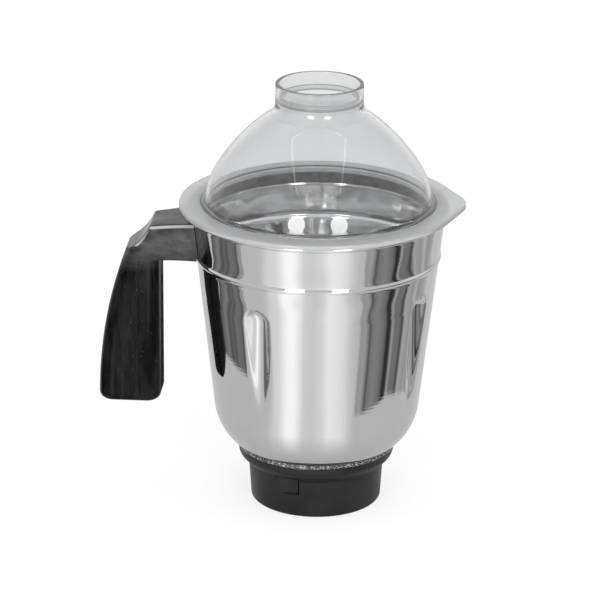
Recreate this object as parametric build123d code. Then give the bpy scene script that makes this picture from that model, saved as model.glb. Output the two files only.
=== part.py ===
from build123d import *
import math
import os

# Wet-grinding jar of a kitchen mixer, in millimetres.
# Z is the jar's axis with the foot on z = 0, the handle is on -X and the lid's lip on +X.

# Steel jar
floor_z = 31.0            # underside of the floor
sheet = 0.8               # sheet thickness
rim_z = 190.7             # top of the rolled rim
rim_radius = 78.3         # outside of the wall at the rim
heel_radius = 60.25       # outside of the wall, carried down to the floor
corner_radius = 36.0      # between wall and floor, outside
roll_radius = 1.6         # rolled rim
bead_drop = 29.7          # bead below the rim
bead_height = 0.9
bead_width = 4.2
flute_count = 4
flute_radius = 9.0
flute_depth = 7.3         # at the flute's top, fading out downwards
flute_drop = 45.7         # top of a flute below the rim
flute_angle = 63.5        # first flute, from the lip

# Lid
lid_gap = 0.3             # flange above the rolled rim
flange_overhang = 7.2     # beyond the rim's wall
flange_thickness = 3.0
flange_round = 1.0
lip_reach = 5.0           # finger lip beyond the flange
lip_round = 18.0
lip_turn = 4.5            # degrees, lid turned on the jar
dome_inset = 3.3          # dome's foot inside the plug's outside
dome_lean = 2.0           # shoulder inside the foot
shoulder_height = 11.5    # above the flange's top
shoulder_round = 52.0
neck_inset = 1.9          # end of the dome's curve, inside the collar's outside
neck_height = 59.6
dome_arc = 115.4
dome_foot_round = 2.2
neck_round = 3.5
lid_wall = 2.2
collar_radius = 26.9
collar_height = 75.3      # above the flange's top
collar_wall = 2.4
collar_round = 0.8
socket_depth = 7.9        # from the collar's top to its ledge
ledge_width = 1.9
ledge_thickness = 2.4
plug_gap = 3.6            # between the plug and the steel at the rim
plug_wall = 2.0
plug_depth = 10.0
gasket_wall = 1.2
gasket_lip = 1.6
gasket_lips = 2
gasket_clearance = 0.2    # gasket's lips to the steel

# Handle
finger_room = 18.7        # from the rim's wall to the grip
grip_foot_z = 63.3
grip_half = 17.0          # half the grip's width
grip_foot_depth = 38.6    # front to back at the foot
grip_arc = 278.0          # curve of the grip's back
back_round = 9.0
front_round = 9.0
foot_round = 5.0
crest_out = 20.8          # crest behind the grip's front
crest_drop = 27.5         # crest below the rim
scoop_arc = 31.0          # thumb scoop
scoop_start_out = 5.6
scoop_start_drop = 11.1
scoop_edge_round = 2.5
arm_tilt = 7.3            # degrees, arm's top
arm_under_tilt = 4.4      # degrees, arm's underside
arm_under_drop = 32.6     # arm's underside at the grip, below the rim
arm_root_half = 24.5      # half the arm's width at the jar
arm_root_depth = 10.0     # arm drawn this far inside the rim's wall, then cut back to the steel
arm_flare_start = 9.0     # behind the grip's front
arm_top_round = 3.0
part_line_out = 12.7      # joint between shell and cover, behind the grip's front
cover_step = 0.7
cover_gap = 0.15
grip_back_wall = 3.5
grip_side_wall = 4.5
wall_fit = 0.3            # handle and base clear of the steel

# Handle bracket and screws
bracket_sheet = 2.0
bracket_half = 12.0
bracket_height = 12.0
bracket_drop = 20.75      # tongue's middle below the rim
tongue_thickness = 2.5
tongue_half = 9.0
tongue_length = 18.7      # beyond the rim's wall
socket_fit = 0.3
arm_screw_out = 10.0      # beyond the rim's wall
arm_screw_radius = 1.95
arm_screw_head_radius = 3.6
arm_screw_head = 2.6
arm_screw_length = 10.5
arm_screw_grip = 5.2      # plastic between head and tongue
cover_screw_radius = 1.45
cover_screw_head_radius = 3.1
cover_screw_head = 2.2
cover_screw_seat = 5.0    # head's seat behind the grip's front
cover_screw_bite = 11.0   # into the shell's boss
cover_screw_end = 18.0    # from each end of the grip
boss_wall = 2.5
screw_fit = 0.05
hole_fit = 0.25
head_fit = 0.3

# Base
skirt_foot_radius = 40.6
skirt_top_radius = 42.2
skirt_top_z = 24.2
skirt_inner_radius = 36.6
foot_edge_round = 2.0
cup_rim_wall = 2.2        # from the steel to the cup's outside at its rim
cup_rim_low = 30.6        # where the cup's slope would meet its rim
cup_curve = 6.0
cup_rim_z = 36.0
cup_rim_round = 0.7
web_thickness = 4.7
web_hole_radius = 24.0
pocket_count = 3
pocket_angle = -102.0     # deep end of the first pocket, from the lip
pocket_sweep = 19.0       # degrees
pocket_depth = 1.8
pocket_slot = 1.2         # narrow slot at the pocket's deep end
pocket_slot_depth = 4.4
pocket_low = 15.0
pocket_high = 26.5
seal_round = 1.7
seal_rise = 1.0
rib_count = 6
rib_thickness = 2.0
rib_depth = 5.0

# Base screws and weld nuts
base_screw_count = 3
base_screw_circle = 30.5
base_screw_angle = 30.0
base_screw_radius = 1.9
base_screw_head_radius = 3.6
base_screw_head = 2.2
weld_nut_height = 2.7
weld_nut_flats = 7.0

# Bearing housing through the floor
hub_hole_radius = 13.0
stem_fit = 0.4
hub_gasket_thickness = 1.5
hub_flange_radius = 19.5
hub_flange_thickness = 3.5
hub_cone_low_radius = 15.0
hub_cone_top_radius = 11.0
hub_cone_height = 9.0
stem_length = 13.0        # below the gasket
hub_washer_radius = 20.0
hub_washer_thickness = 1.4
housing_nut_flats = 34.0
housing_nut_height = 5.6
thread_fit = 0.1
bush_radius = 8.0
bush_length = 9.0
bush_press = 0.02
seal_recess = 3.0
shaft_seal_radius = 9.0
shaft_seal_lip = 2.3      # above the housing
shaft_seal_gap = 0.3

# Blade drive
shaft_radius = 4.0
running_clearance = 0.03
shoulder_gap = 0.5        # shaft's collar above the seal
shoulder_collar_radius = 6.5
shoulder_collar_height = 2.2
seat_radius = 3.5
seat_flats = 5.6
seat_fit = 0.05
blade_thickness = 2.0
blade_hub_half = 11.0
blade_root_width = 13.0
blade_tip_width = 9.0
blade_arm_length = 34.0
blade_sweep = 3.0
blade_edge = 3.6
blade_edge_drop = 1.5
lower_blade_angle = -20.0
upper_blade_angle = 38.0
upper_blade_turn_angle = 90.0
blade_washer_radius = 7.0
blade_washer_thickness = 1.2
stud_radius = 3.0
blade_nut_flats = 10.0
blade_nut_height = 8.5
blade_nut_wall = 2.5
thrust_gap = 0.2
thrust_washer_radius = 9.0
thrust_washer_thickness = 1.3
circlip_radius = 7.0
circlip_thickness = 1.1
circlip_groove = 0.75
circlip_mouth = 5.0
groove_fit = 0.1
coupler_top_gap = 1.0     # below the circlip
coupler_foot_z = 2.5
coupler_radius = 18.5
coupler_disc = 6.5
jaw_count = 6
jaw_inner_radius = 9.5
jaw_slot = 9.0
insert_flats = 12.0
insert_length = 11.5
insert_proud = 0.6

# Worked out from the values above
wall_slope = (rim_radius - heel_radius) / (rim_z - floor_z)
wall_tilt = math.atan(wall_slope)
floor_top = floor_z + sheet
flange_z = rim_z + lid_gap
flange_top = flange_z + flange_thickness
collar_z = flange_top + collar_height
flange_radius = rim_radius + flange_overhang
plug_radius = rim_radius - sheet - plug_gap
dome_foot_radius = plug_radius - dome_inset
shoulder_radius = dome_foot_radius - dome_lean
neck_radius = collar_radius - neck_inset
grip_front = rim_radius + finger_room
part_line = grip_front + part_line_out
arm_root = rim_radius - arm_root_depth
corner_middle_z = floor_z + corner_radius
corner_middle = heel_radius + wall_slope * corner_radius - corner_radius / math.cos(wall_tilt)
cup_rim_drop = corner_middle_z - cup_rim_z
cup_radius = corner_middle + math.sqrt(corner_radius**2 - cup_rim_drop**2) + cup_rim_wall
web_z = floor_z - wall_fit - web_thickness
hub_z = floor_top + hub_gasket_thickness
stem_z = hub_z - stem_length
hub_top = hub_z + hub_flange_thickness + hub_cone_height
collar_low = hub_top + shaft_seal_lip + shoulder_gap
blade_z = collar_low + shoulder_collar_height
blades_top = blade_z + 2 * blade_thickness
nut_z = blades_top + blade_washer_thickness
thrust_z = stem_z - thrust_gap - thrust_washer_thickness
groove_high = thrust_z
groove_low = groove_high - circlip_thickness - groove_fit
coupler_top = groove_low - coupler_top_gap
insert_z = coupler_top + insert_proud - insert_length


def outline(*points):
    return make_face(Polyline(*points, close=True))


def block(low, high):
    return outline(low, (high[0], low[1]), high, (low[0], high[1]))


def turned(face):
    return revolve(Plane.XZ * face, axis=Axis.Z)


def ring(inner, outer, low, high):
    return turned(block((inner, low), (outer, high)))


def pillar(radius, low, high):
    return Pos(0, 0, (low + high) / 2) * Cylinder(radius, high - low)


def hexagon(flats, low, high):
    return extrude(Pos(0, 0, low) * RegularPolygon(flats / 2, 6, major_radius=False), high - low)


def near(shape, x, y):
    return shape.vertices().sort_by_distance((x, y, 0))[0]


def around(count, start, piece):
    return [Rot(0, 0, start + 360 * i / count) * piece for i in range(count)]


# Centre of the arc of that radius from a to b, turning anticlockwise
def arc_centre(a, b, radius):
    along = Vector(b[0] - a[0], b[1] - a[1])
    reach = math.sqrt(radius**2 - (along.length / 2) ** 2)
    side = Vector(-along.Y, along.X).normalized() * reach
    return ((a[0] + b[0]) / 2 + side.X, (a[1] + b[1]) / 2 + side.Y)


def arc_between(a, b, radius):
    centre = arc_centre(a, b, radius)
    middle = Vector((a[0] + b[0]) / 2 - centre[0], (a[1] + b[1]) / 2 - centre[1]).normalized() * radius
    return ThreePointArc(a, (centre[0] + middle.X, centre[1] + middle.Y), b)


# Jar

def wall_radius(z):
    return heel_radius + wall_slope * (z - floor_z)


# Half section of the filled jar, grown outwards by offset
def vessel_face(offset, top):
    low = floor_z - offset
    shift = offset / math.cos(wall_tilt)
    heel = wall_radius(low) + shift
    face = outline((0, low), (heel, low), (wall_radius(top) + shift, top), (0, top))
    return fillet(near(face, heel, low), corner_radius + offset)


# Bars that press the flutes in: upright, so that each flute fades out down the tapered wall
def flute_bars(radius):
    top = rim_z - flute_drop
    reach = wall_radius(top) - flute_depth
    middle = reach + flute_radius
    fade = floor_z + (reach - heel_radius) / wall_slope
    bar = pillar(radius, fade - 2 * flute_radius, top - flute_radius)
    bar += Pos(0, 0, top - flute_radius) * Sphere(radius)
    return around(flute_count, flute_angle, Pos(middle, 0, 0) * bar)


bead_z = rim_z - bead_drop
bead_arc = (bead_width**2 / 4 + bead_height**2) / (2 * bead_height)


# The same section with the bead that is rolled outwards all round
def beaded_face(offset, top):
    middle = wall_radius(bead_z) + bead_height - bead_arc
    return vessel_face(offset, top) + Pos(middle, bead_z) * Circle(bead_arc + offset)


def make_jar_body():
    roll_z = rim_z - roll_radius
    roll_middle = wall_radius(roll_z) - sheet / math.cos(wall_tilt) + roll_radius
    outside = turned(beaded_face(0, roll_z)) - flute_bars(flute_radius)
    inside = turned(beaded_face(-sheet, rim_z + sheet)) - flute_bars(flute_radius + sheet)
    roll = turned(Pos(roll_middle, roll_z) * Circle(roll_radius))
    hole = pillar(hub_hole_radius, floor_z - sheet, floor_top + sheet)
    return outside - inside + roll - hole


# Lid

def flange_plate():
    lip_middle = flange_radius + lip_reach - lip_round
    lean = math.acos((flange_radius - lip_round) / lip_middle)
    corner = (math.cos(lean), math.sin(lean))
    broad = (flange_radius * corner[0], flange_radius * corner[1])
    tip = (lip_middle + lip_round * corner[0], lip_round * corner[1])
    plan = Circle(flange_radius) + Pos(lip_middle, 0) * Circle(lip_round)
    plan += outline((broad[0], -broad[1]), (tip[0], -tip[1]), tip, broad)
    plate = extrude(Pos(0, 0, flange_z) * plan, flange_thickness)
    return Rot(0, 0, lip_turn) * fillet(plate.edges().filter_by(Axis.Z, reverse=True), flange_round)


# Largest round at the dome's shoulder that leaves the leaning wall room for the fillet at its foot
def shoulder_limit(shoulder, neck):
    foot = Vector(dome_foot_radius, flange_top)
    up = (Vector(*shoulder) - foot).normalized()
    start = foot + up * dome_foot_round - Vector(*arc_centre(shoulder, neck, dome_arc))
    return (dome_arc**2 - start.dot(start)) / (2 * (dome_arc + Vector(-up.Y, up.X).dot(start)))


def make_lid():
    below = flange_z - plug_depth
    shoulder = (shoulder_radius, flange_top + shoulder_height)
    neck = (neck_radius, flange_top + neck_height)
    crown = make_face(
        Polyline(neck, (-neck_radius, neck[1]), (-neck_radius, below), (dome_foot_radius, below),
                 (dome_foot_radius, flange_top), shoulder)
        + arc_between(shoulder, neck, dome_arc)
    )
    crown = fillet(near(crown, *shoulder), min(shoulder_round, shoulder_limit(shoulder, neck)))
    inner_crown = offset(crown, -lid_wall)
    socket_radius = collar_radius - collar_wall
    ledge_z = collar_z - socket_depth
    hollow = inner_crown & block((0, 0), (flange_radius, collar_z))
    hollow += block((0, flange_z), (socket_radius, ledge_z - ledge_thickness))
    hollow += block((0, flange_z), (socket_radius - ledge_width, collar_z))
    hollow += block((0, ledge_z), (socket_radius, collar_z + ledge_thickness))
    body = crown & block((0, flange_z), (flange_radius, collar_z))
    body += block((0, flange_z), (flange_radius - 2 * flange_round, flange_top))
    body += block((0, flange_top), (collar_radius, collar_z))
    body = fillet(near(body, dome_foot_radius, flange_top), dome_foot_round)
    body = fillet(near(body, collar_radius, neck[1]), neck_round)
    body += block((plug_radius - plug_wall, below), (plug_radius, flange_top))
    section = body - hollow
    section = fillet(section.vertices().group_by(Axis.Y)[-1], collar_round)
    return turned(section) + (flange_plate() - turned(hollow))


def make_lid_gasket():
    foot = flange_z - plug_depth + gasket_lip
    ring_face = block((plug_radius, foot), (plug_radius + gasket_wall, flange_z))
    for step in range(gasket_lips):
        low = foot + gasket_lip * (1 + 2 * step)
        reach = wall_radius(low) - sheet / math.cos(wall_tilt) - gasket_clearance
        ring_face += outline((plug_radius, low), (reach, low), (reach, low + gasket_lip / 2),
                             (plug_radius, low + gasket_lip))
    return turned(ring_face)


# Handle, drawn on +X and turned to -X at the end

def arm_under(out):
    return rim_z - arm_under_drop - (out - grip_front) * math.tan(math.radians(arm_under_tilt))


def arm_top(out):
    start = grip_front + scoop_start_out
    return rim_z - scoop_start_drop - (out - start) * math.tan(math.radians(arm_tilt))


crest = (grip_front + crest_out, rim_z - crest_drop)
grip_toe = (grip_front + grip_foot_depth, grip_foot_z)
grip_centre = arc_centre(grip_toe, crest, grip_arc)


def grip_back(z, inset=0):
    return grip_centre[0] + math.sqrt((grip_arc - inset) ** 2 - (z - grip_centre[1]) ** 2)


# Side view of the space behind the grip's front, from low to high, inside the back's curve
def grip_side(front, low, high, inset=0):
    middle = (low + high) / 2
    return make_face(
        Polyline((grip_back(high, inset), high), (front, high), (front, low), (grip_back(low, inset), low))
        + ThreePointArc((grip_back(low, inset), low), (grip_back(middle, inset), middle),
                        (grip_back(high, inset), high))
    )


def slab(face, half):
    return extrude(Plane.XZ * face, half, both=True)


def upright_edges(blank, low, high):
    sides = blank.edges().filter_by(lambda e: abs(e.center().Y) > grip_half / 2)
    return sides.filter_by(lambda e: abs(e.tangent_at(0.5).Z) > 0.5 and low < e.center().X < high)


# The whole grip up to a height, with its back and foot rounded, and its front too for the cover
def grip_blank(high, round_front):
    blank = slab(grip_side(grip_front, grip_foot_z, high), grip_half)
    blank = fillet(upright_edges(blank, part_line, 2 * part_line), back_round)
    if round_front:
        blank = fillet(upright_edges(blank, 0, part_line), front_round)
    return fillet(blank.faces().sort_by(Axis.Z)[0].edges(), foot_round)


# Outline of the whole handle seen from the side: arm, thumb scoop and the grip's back
def handle_side():
    scoop = (grip_front + scoop_start_out, rim_z - scoop_start_drop)
    scoop_mid = arc_centre(scoop, crest, scoop_arc)
    lean = Vector((scoop[0] + crest[0]) / 2 - scoop_mid[0], (scoop[1] + crest[1]) / 2 - scoop_mid[1])
    dip = lean.normalized() * scoop_arc
    beyond = grip_front + 2 * grip_foot_depth
    below = grip_foot_z - foot_round
    face = make_face(
        Polyline(crest, (beyond, crest[1] - crest_drop), (beyond, below), (arm_root, below),
                 (arm_root, arm_top(arm_root)), scoop)
        + ThreePointArc(scoop, (scoop_mid[0] + dip.X, scoop_mid[1] + dip.Y), crest)
    )
    return fillet(near(face, *scoop), scoop_edge_round)


def arm_blank():
    flare_end = grip_front + arm_flare_start
    far = part_line + cover_step
    spread = arm_root_half - grip_half
    flare = ((flare_end - arm_root) ** 2 + spread**2) / (2 * spread)
    turn = math.asin((flare_end - arm_root) / flare) / 2
    bend = (flare_end - flare * math.sin(turn), grip_half + flare * (1 - math.cos(turn)))
    half_plan = make_face(
        Polyline((flare_end, grip_half), (far, grip_half), (far, 0), (arm_root, 0), (arm_root, arm_root_half))
        + ThreePointArc((arm_root, arm_root_half), bend, (flare_end, grip_half))
    )
    plan = half_plan + mirror(half_plan, Plane.XZ)
    blank = extrude(plan, rim_z)
    side = outline((arm_root, arm_under(arm_root)), (far, arm_under(far)), (far, rim_z), (arm_root, rim_z))
    return blank & slab(side, 2 * arm_root_half)


def along_grip(radius, start, end, z):
    return Pos((start + end) / 2, 0, z) * Rot(0, 90, 0) * Cylinder(radius, end - start)


cover_screw_levels = (grip_foot_z + cover_screw_end, arm_under(grip_front) - cover_screw_end)
pilot_radius = cover_screw_radius + screw_fit
shank_hole = cover_screw_radius + hole_fit
head_hole = cover_screw_head_radius + head_fit
cavity_low = grip_foot_z + foot_round
cavity_high = arm_under(part_line) - grip_back_wall


def make_handle_shell():
    behind = block((part_line, 0), (2 * part_line, rim_z))
    shell = grip_blank(rim_z - scoop_start_drop, False) & slab(behind, 2 * grip_half)
    shell = shell + arm_blank()
    shell = shell & slab(handle_side(), 2 * arm_root_half)
    top_edges = shell.edges().filter_by(
        lambda e: abs(e.center().Y) > grip_half / 2 and e.center().Z > crest[1] + crest_drop / 3
        and e.center().X < grip_front + scoop_start_out and abs(e.tangent_at(0.5).X) > 0.5)
    shell = fillet(top_edges, arm_top_round)
    shell -= slab(grip_side(part_line - cover_gap, cavity_low, cavity_high, grip_back_wall),
                  grip_half - grip_side_wall)
    for z in cover_screw_levels:
        boss = along_grip(pilot_radius + boss_wall, part_line, grip_back(z) - grip_back_wall / 2, z)
        shell += boss
        shell -= along_grip(pilot_radius, part_line - cover_gap, part_line + cover_screw_bite + hole_fit, z)
    shell -= turned(beaded_face(wall_fit, rim_z))
    shell -= bracket_shape(socket_fit)
    shell -= arm_screw_hole()
    return Rot(0, 0, 180) * shell


def make_handle_cover():
    high = arm_under(grip_front) - cover_gap
    front = part_line - cover_gap
    keep = outline((grip_front - cover_gap, 0), (front, 0), (front, arm_under(front) - cover_gap),
                   (grip_front - cover_gap, high))
    cover = grip_blank(high, True) & slab(keep, grip_half - cover_step)
    hollow_half = grip_half - grip_side_wall - cover_step
    cover -= slab(block((grip_front + grip_back_wall, cavity_low), (part_line, cavity_high)), hollow_half)
    for z in cover_screw_levels:
        cover += along_grip(head_hole + boss_wall / 2, grip_front + grip_back_wall / 2, front, z)
        cover -= along_grip(shank_hole, grip_front - cover_gap, part_line, z)
        cover -= along_grip(head_hole, grip_front - cover_gap, grip_front + cover_screw_seat, z)
    return Rot(0, 0, 180) * cover


def make_cover_screws():
    seat = grip_front + cover_screw_seat
    screws = []
    for z in cover_screw_levels:
        screw = along_grip(cover_screw_head_radius, seat - cover_screw_head, seat, z)
        screw += along_grip(cover_screw_radius, seat, part_line + cover_screw_bite, z)
        screws.append(Rot(0, 0, 180) * screw)
    return screws


# Bracket: a plate on the jar's wall with a tongue that the arm slides over
tongue_low = rim_z - bracket_drop - tongue_thickness / 2
tongue_end = rim_radius + tongue_length
arm_screw_x = rim_radius + arm_screw_out
arm_screw_seat = tongue_low - arm_screw_grip


def bracket_shape(fit):
    middle = rim_z - bracket_drop
    plate = turned(vessel_face(bracket_sheet + fit, rim_z) - vessel_face(0, rim_z))
    plate = plate & Pos(rim_radius, 0, middle) * Box(rim_radius, 2 * (bracket_half + fit),
                                                     bracket_height + 2 * fit)
    length = tongue_end + fit - arm_root
    tongue = Pos(arm_root + length / 2, 0, middle) * Box(length, 2 * (tongue_half + fit),
                                                         tongue_thickness + 2 * fit)
    return plate + (tongue - turned(vessel_face(0, rim_z)))


def make_handle_bracket():
    hole = Pos(arm_screw_x, 0, 0) * pillar(arm_screw_radius + screw_fit, 0, rim_z)
    return Rot(0, 0, 180) * (bracket_shape(0) - hole)


def arm_screw_hole():
    hole = pillar(arm_screw_radius + hole_fit, arm_screw_seat, arm_screw_seat + arm_screw_length + hole_fit)
    hole += pillar(arm_screw_head_radius + head_fit, grip_foot_z, arm_screw_seat)
    return Pos(arm_screw_x, 0, 0) * hole


def make_handle_screw():
    screw = pillar(arm_screw_radius, arm_screw_seat, arm_screw_seat + arm_screw_length)
    screw += pillar(arm_screw_head_radius, arm_screw_seat - arm_screw_head, arm_screw_seat)
    return Rot(0, 0, 180) * (Pos(arm_screw_x, 0, 0) * screw)


# Base

def locking_pocket():
    outer = skirt_top_radius + 2 * pocket_depth
    deep = skirt_top_radius - pocket_depth
    far = math.radians(-pocket_sweep)
    plan = outline((deep, 0), (outer, 0), (outer * math.cos(far), outer * math.sin(far)),
                   (skirt_top_radius * math.cos(far), skirt_top_radius * math.sin(far)))
    plan += block((skirt_top_radius - pocket_slot_depth, 0), (outer, pocket_slot))
    return extrude(Pos(0, 0, pocket_low) * plan, pocket_high - pocket_low)


def make_jar_base():
    face = outline((skirt_inner_radius, 0), (skirt_foot_radius, 0), (skirt_top_radius, skirt_top_z),
                   (cup_radius, cup_rim_low), (cup_radius, cup_rim_z), (web_hole_radius, cup_rim_z),
                   (web_hole_radius, web_z), (skirt_inner_radius, web_z))
    face = fillet(near(face, cup_radius, cup_rim_low), cup_curve)
    face = fillet(near(face, cup_radius, cup_rim_z), cup_rim_round)
    face = fillet(near(face, skirt_foot_radius, 0), foot_edge_round)
    base = turned(face - vessel_face(wall_fit, rim_z))
    rib_start = web_hole_radius + rib_thickness
    rib_length = skirt_inner_radius + rib_thickness / 2 - rib_start
    rib = Box(rib_length, rib_thickness, rib_depth)
    rib = Pos(rib_start + rib_length / 2, 0, web_z - rib_depth / 2) * rib
    base += around(rib_count, 0, rib)
    base -= around(pocket_count, pocket_angle, locking_pocket())
    hole = pillar(base_screw_radius + hole_fit, web_z - rib_depth, floor_z)
    hole += pillar(weld_nut_flats / math.sqrt(3) + head_fit, floor_z - weld_nut_height - wall_fit, floor_z)
    base -= around(base_screw_count, base_screw_angle, Pos(base_screw_circle, 0, 0) * hole)
    return base


# Bead of sealant that fills the corner between the cup's rim and the steel
def make_base_seal():
    bead = Pos(cup_radius - cup_rim_round, cup_rim_z + seal_rise) * Circle(seal_round)
    bead -= vessel_face(0, rim_z)
    bead -= block((0, 0), (2 * cup_radius, cup_rim_z))
    return turned(bead)


def make_base_screws():
    screw = pillar(base_screw_radius, web_z, floor_z - wall_fit)
    screw += pillar(base_screw_head_radius, web_z - base_screw_head, web_z)
    return around(base_screw_count, base_screw_angle, Pos(base_screw_circle, 0, 0) * screw)


def make_weld_nuts():
    low = floor_z - weld_nut_height
    nut = hexagon(weld_nut_flats, low, floor_z) - pillar(base_screw_radius + thread_fit, low, floor_z)
    return around(base_screw_count, base_screw_angle, Pos(base_screw_circle, 0, 0) * nut)


# Bearing housing and what clamps it to the floor
stem_radius = hub_hole_radius - stem_fit


def make_bush_housing():
    cone_z = hub_z + hub_flange_thickness
    half = outline((0, stem_z), (stem_radius, stem_z), (stem_radius, hub_z), (hub_flange_radius, hub_z),
                   (hub_flange_radius, cone_z), (hub_cone_low_radius, cone_z), (hub_cone_top_radius, hub_top),
                   (0, hub_top))
    housing = turned(fillet(near(half, hub_flange_radius, cone_z), hub_flange_thickness / 3))
    housing -= pillar(bush_radius, stem_z, hub_top)
    return housing - pillar(shaft_seal_radius, hub_top - seal_recess, hub_top)


def make_hub_gasket():
    return ring(hub_hole_radius, hub_flange_radius - stem_fit, floor_top, hub_z)


def make_hub_washer():
    return ring(hub_hole_radius, hub_washer_radius, floor_z - hub_washer_thickness, floor_z)


def make_housing_nut():
    high = floor_z - hub_washer_thickness
    low = high - housing_nut_height
    return hexagon(housing_nut_flats, low, high) - pillar(stem_radius + thread_fit, low, high)


def make_bearing_bushes():
    inner = shaft_radius + running_clearance
    outer = bush_radius - bush_press
    top = hub_top - seal_recess
    return [ring(inner, outer, stem_z, stem_z + bush_length), ring(inner, outer, top - bush_length, top)]


def make_shaft_seal():
    low = hub_top - seal_recess
    high = hub_top + shaft_seal_lip
    hole = shaft_radius + shaft_seal_gap
    outer = shaft_seal_radius - screw_fit
    half = outline((hole, low), (outer, low), (outer, hub_top), (hole + shaft_seal_lip / 2, high),
                   (hole, high))
    return turned(half)


# Rotor

def seat_section(radius, flats):
    return Circle(radius) & Rectangle(4 * radius, flats)


def make_blade_shaft():
    half = outline((0, insert_z), (seat_radius, insert_z), (seat_radius, coupler_top + insert_proud),
                   (shaft_radius, coupler_top + insert_proud), (shaft_radius, groove_low),
                   (shaft_radius - circlip_groove, groove_low), (shaft_radius - circlip_groove, groove_high),
                   (shaft_radius, groove_high), (shaft_radius, collar_low),
                   (shoulder_collar_radius, collar_low), (shoulder_collar_radius, blade_z), (0, blade_z))
    shaft = turned(half)
    shaft += extrude(Pos(0, 0, blade_z) * seat_section(seat_radius, seat_flats), blades_top - blade_z)
    return shaft + pillar(stud_radius, blades_top, nut_z + blade_nut_height - blade_nut_wall)


# A wing tapers to its tip, and its leading edge is ground down to a bevel
def blade_wing():
    root = blade_root_width / 2
    plan = outline((0, -root), (blade_arm_length, -root + blade_sweep),
                   (blade_arm_length - blade_sweep, -root + blade_sweep + blade_tip_width), (0, root))
    wing = extrude(Pos(0, 0, -blade_thickness / 2) * plan, blade_thickness)
    long_edges = wing.edges().filter_by(lambda e: e.length > blade_arm_length / 2)
    leading = long_edges.filter_by(lambda e: e.center().Z > 0 and e.center().Y > 0)
    return chamfer(leading, blade_edge_drop, blade_edge)


def make_blade(low, bend, turn):
    middle = low + blade_thickness / 2
    hub = Pos(0, 0, middle) * Box(2 * blade_hub_half, blade_root_width, blade_thickness)
    fold = Rot(90, 0, 0) * Cylinder(blade_thickness / 2, blade_root_width)
    wing = Pos(blade_hub_half, 0, middle) * (Rot(0, -bend, 0) * blade_wing() + fold)
    blade = hub + wing + Rot(0, 0, 180) * wing
    hole = seat_section(seat_radius + seat_fit, seat_flats + 2 * seat_fit)
    blade = Rot(0, 0, turn) * blade
    return blade - extrude(Pos(0, 0, low - blade_thickness) * hole, 3 * blade_thickness)


def make_blade_washer():
    return ring(seat_radius + seat_fit, blade_washer_radius, blades_top, nut_z)


def make_blade_nut():
    high = nut_z + blade_nut_height
    crown = blade_nut_height / 2
    nut = hexagon(blade_nut_flats, nut_z, high) & (
        pillar(blade_nut_flats, nut_z, nut_z + crown)
        + Pos(0, 0, nut_z + crown) * Sphere(blade_nut_flats / math.sqrt(3))
    )
    return nut - pillar(stud_radius + thread_fit, nut_z, high - blade_nut_wall)


def make_thrust_washer():
    return ring(shaft_radius + screw_fit, thrust_washer_radius, thrust_z, thrust_z + thrust_washer_thickness)


def make_circlip():
    low = groove_low + groove_fit
    clip = ring(shaft_radius - circlip_groove + groove_fit, circlip_radius, low, groove_high)
    mouth = Box(2 * circlip_radius, circlip_mouth, circlip_radius)
    return clip - Pos(circlip_radius, 0, (low + groove_high) / 2) * mouth


def make_drive_coupler():
    disc_low = coupler_top - coupler_disc
    coupler = ring(jaw_inner_radius, coupler_radius, coupler_foot_z, disc_low)
    slot_length = coupler_radius - jaw_inner_radius + 2 * jaw_slot
    slot_middle = jaw_inner_radius + (slot_length - jaw_slot) / 2
    slot = Pos(slot_middle, 0, 0) * Box(slot_length, jaw_slot, 2 * disc_low)
    coupler -= around(jaw_count, 0, slot)
    coupler += pillar(coupler_radius, disc_low, coupler_top)
    coupler += pillar(jaw_inner_radius, insert_z, disc_low)
    return coupler - hexagon(insert_flats, insert_z, coupler_top)


def make_coupler_insert():
    high = insert_z + insert_length
    return hexagon(insert_flats, insert_z, high) - pillar(seat_radius + seat_fit, insert_z, high)


pieces = {
    "jar_body": make_jar_body(),
    "lid": make_lid(),
    "lid_gasket": make_lid_gasket(),
    "handle_shell": make_handle_shell(),
    "handle_cover": make_handle_cover(),
    "handle_bracket": make_handle_bracket(),
    "handle_screw": make_handle_screw(),
    "cover_screws": make_cover_screws(),
    "jar_base": make_jar_base(),
    "base_seal": make_base_seal(),
    "base_screws": make_base_screws(),
    "weld_nuts": make_weld_nuts(),
    "bush_housing": make_bush_housing(),
    "hub_gasket": make_hub_gasket(),
    "hub_washer": make_hub_washer(),
    "housing_nut": make_housing_nut(),
    "bearing_bushes": make_bearing_bushes(),
    "shaft_seal": make_shaft_seal(),
    "blade_shaft": make_blade_shaft(),
    "lower_blade": make_blade(blade_z, lower_blade_angle, 0),
    "upper_blade": make_blade(blade_z + blade_thickness, upper_blade_angle, upper_blade_turn_angle),
    "blade_washer": make_blade_washer(),
    "blade_nut": make_blade_nut(),
    "thrust_washer": make_thrust_washer(),
    "circlip": make_circlip(),
    "drive_coupler": make_drive_coupler(),
    "coupler_insert": make_coupler_insert(),
}

os.makedirs("parts", exist_ok=True)
for name, piece in pieces.items():
    solids = piece if isinstance(piece, list) else [piece]
    export_step(Compound(children=solids) if len(solids) > 1 else solids[0], f"parts/{name}.step")
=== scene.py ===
import math

import bpy
import numpy as np
from mathutils import Matrix, Vector, noise


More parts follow.
